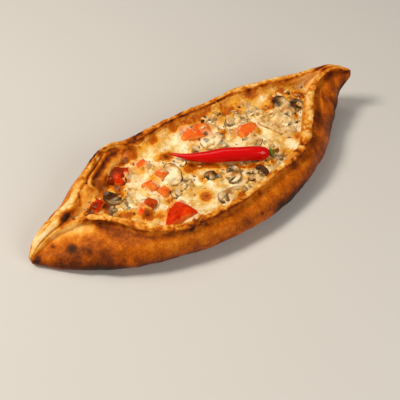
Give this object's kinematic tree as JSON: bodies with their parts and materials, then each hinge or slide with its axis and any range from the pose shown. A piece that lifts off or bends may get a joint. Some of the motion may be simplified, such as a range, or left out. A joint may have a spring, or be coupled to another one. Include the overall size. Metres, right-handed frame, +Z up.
{
  "type": "turkish pide",
  "caption": "Boat-shaped baked flatbread with a raised, pinched rim, filled with melted cheese, mushroom slices, tomato pieces and a whole red chilli.",
  "frame": {"origin": "on the flat underside, at the middle of the boat's length and width", "axes": "+X along the boat's length towards its raised, pinched end, +Y towards its far side, +Z up"},
  "size_m": [0.32, 0.132, 0.044],
  "materials": {
    "baked_dough": "baked bread crust, satin golden brown",
    "melted_cheese": "melted cheese, soft gloss",
    "tomato": "wet roasted tomato",
    "mushroom": "roasted mushroom, satin",
    "chilli_skin": "smooth glossy pepper skin",
    "chilli_stalk": "green plant stalk"
  },
  "bodies": {
    "root": {"dough_boat": "baked_dough", "melted_cheese": "melted_cheese", "chilli_pod": "chilli_skin", "chilli_stalk": "chilli_stalk", "tomato_left": "tomato", "tomato_corner": "tomato", "tomato_near": "tomato", "tomato_browned": "tomato", "tomato_far": "tomato", "tomato_right": "tomato", "tomato_bit_1": "tomato", "tomato_bit_2": "tomato", "tomato_bit_3": "tomato", "tomato_bit_4": "tomato", "mushroom_standing": "mushroom", "mushroom_behind": "mushroom", "mushroom_long": "mushroom", "mushroom_middle": "mushroom", "mushroom_by_tomato": "mushroom", "mushroom_near": "mushroom", "mushroom_round": "mushroom", "mushroom_left": "mushroom", "mushroom_pale": "mushroom", "mushroom_under_tip": "mushroom", "mushroom_gill_1": "mushroom", "mushroom_gill_2": "mushroom", "mushroom_gill_3": "mushroom", "mushroom_gill_4": "mushroom", "mushroom_corner": "mushroom", "mushroom_far": "mushroom"}
  },
  "joints": []
}
